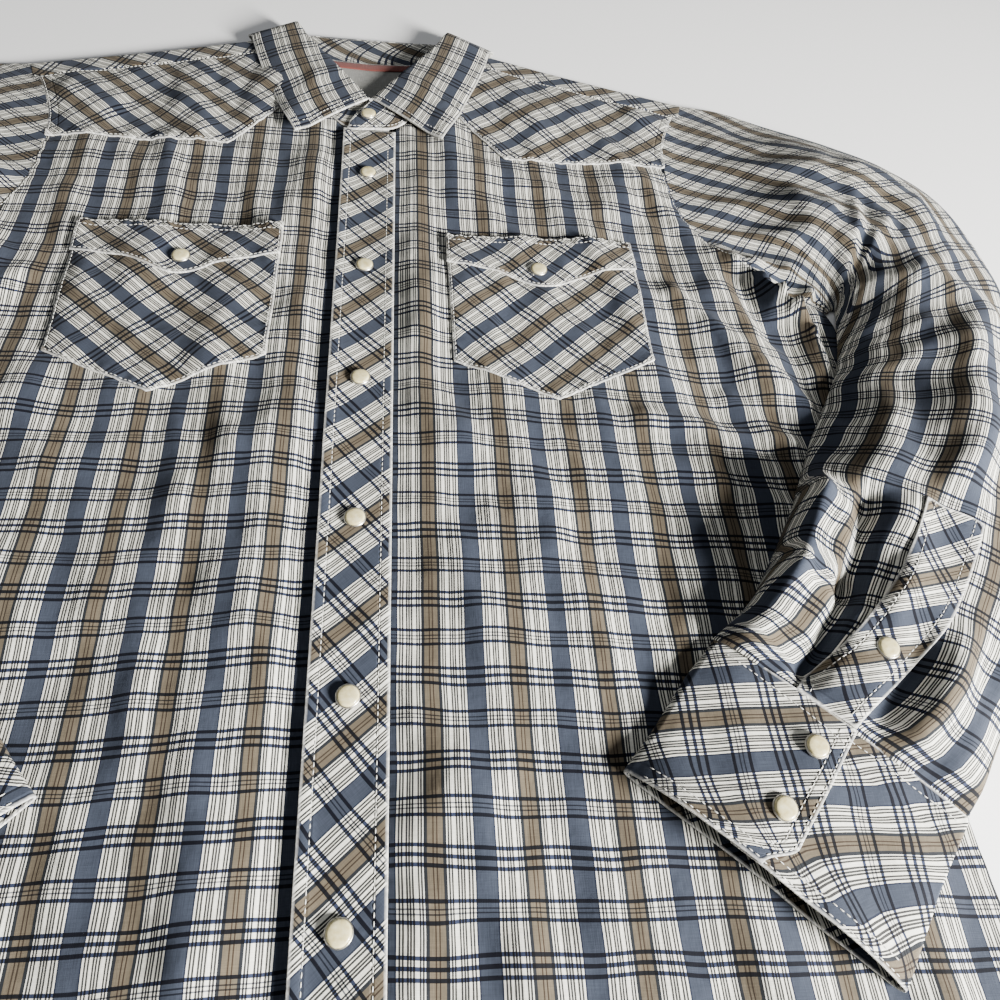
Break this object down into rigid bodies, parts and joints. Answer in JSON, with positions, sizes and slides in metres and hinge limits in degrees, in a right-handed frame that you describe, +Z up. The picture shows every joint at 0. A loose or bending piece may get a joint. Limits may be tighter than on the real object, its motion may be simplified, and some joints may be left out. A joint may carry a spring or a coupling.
{
  "type": "western snap shirt",
  "caption": "Long-sleeved plaid western shirt with pointed yokes, flap pockets and pearl snaps, laid on its back with the sleeves folded over the front.",
  "frame": {"origin": "on the surface that the shirt lies on, under the centre line of the placket, 392 mm above the lowest point of the shirt tail and 41 mm below the level of the armpits", "axes": "+Z is up from the surface, +Y runs from the shirt tail to the collar, +X is the wearer's left side"},
  "size_m": [0.8374, 0.8234, 0.0339],
  "materials": {
    "plaid": "woven cotton plaid on the straight grain",
    "bias_plaid": "the same woven cotton plaid cut on the bias",
    "plain_grey": "plain grey cotton",
    "rust_tape": "twill tape",
    "pearl": "pearl cap in a thin metal rim"
  },
  "bodies": {
    "root": {"back": "plaid", "front_left": "plaid", "front_right": "plaid", "collar": "plaid", "sleeve_left": "plaid", "sleeve_right": "plaid", "back_yoke": "bias_plaid", "front_yoke_left": "bias_plaid", "front_yoke_right": "bias_plaid", "placket": "bias_plaid", "pocket_left": "bias_plaid", "pocket_right": "bias_plaid", "pocket_flap_left": "bias_plaid", "pocket_flap_right": "bias_plaid", "collar_stand": "bias_plaid", "cuff_left": "bias_plaid", "cuff_right": "bias_plaid", "gauntlet_left": "bias_plaid", "gauntlet_right": "bias_plaid", "inner_yoke": "plain_grey", "neck_tape": "rust_tape", "snap_neck": "pearl", "snap_front_1": "pearl", "snap_front_2": "pearl", "snap_front_3": "pearl", "snap_front_4": "pearl", "snap_front_5": "pearl", "snap_front_6": "pearl", "snap_front_7": "pearl", "snap_flap_left": "pearl", "snap_cuff_left_1": "pearl", "snap_cuff_left_2": "pearl", "snap_gauntlet_left": "pearl", "snap_flap_right": "pearl", "snap_cuff_right_1": "pearl", "snap_cuff_right_2": "pearl", "snap_gauntlet_right": "pearl"}
  },
  "joints": []
}
